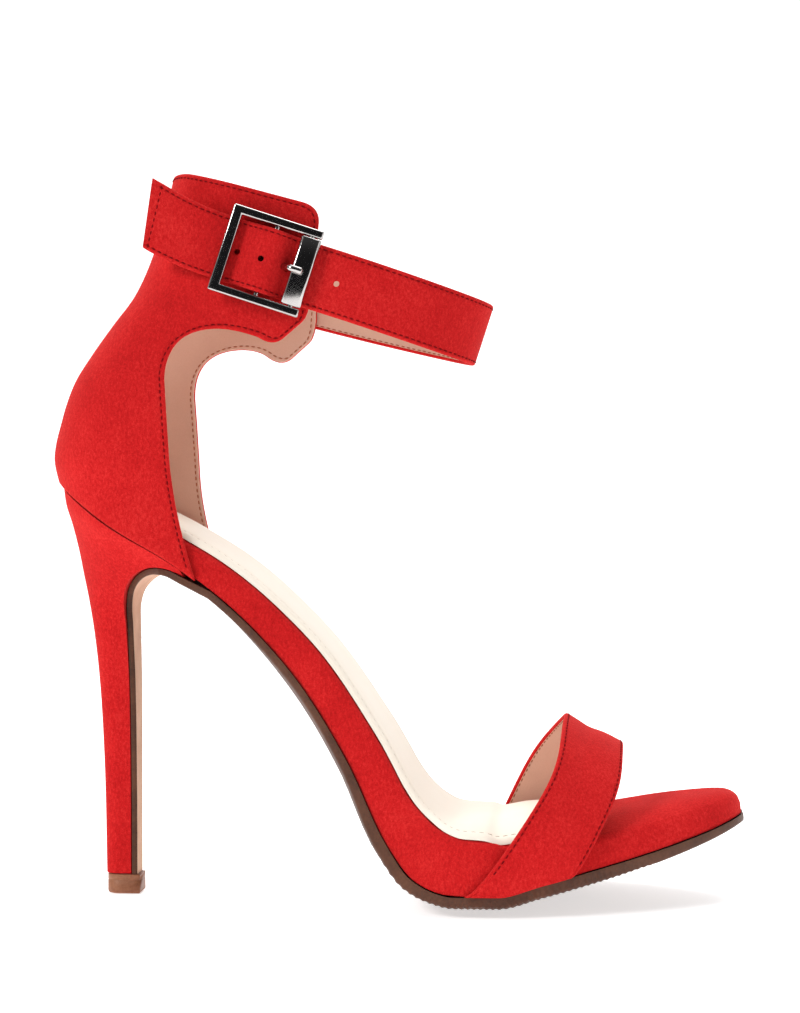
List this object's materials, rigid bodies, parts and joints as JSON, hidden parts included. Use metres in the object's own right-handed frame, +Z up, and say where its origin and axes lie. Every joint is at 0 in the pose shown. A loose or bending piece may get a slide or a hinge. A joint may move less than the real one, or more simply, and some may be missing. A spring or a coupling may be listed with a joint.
{
  "type": "strappy sandal",
  "caption": "Open-toe suede sandal on a high stiletto heel, with one broad toe strap, a closed heel counter with an ankle cuff, and a buckled ankle strap.",
  "frame": {"origin": "middle of the sandal's box, on the floor it stands on", "axes": "+X towards the toe, +Y towards the medial side, +Z up"},
  "size_m": [0.1966, 0.0792, 0.2049],
  "materials": {
    "suede": "red suede, matte with a fine nap",
    "sock": "ivory smooth leather, satin",
    "sole": "brown moulded sole, matte",
    "tip": "brown hard rubber, satin",
    "buckle": "dark polished nickel",
    "plate": "pale polished brass, plain"
  },
  "bodies": {
    "root": {"outsole": "sole", "heel": "suede", "heel_tip": "tip", "footbed": "suede", "insole": "sock", "heel_counter": "suede", "toe_strap": "suede", "ankle_strap": "suede", "sole_plate": "plate", "buckle_frame": "buckle", "buckle_roller": "buckle", "buckle_prong": "buckle", "buckle_tab": "suede"}
  },
  "joints": []
}
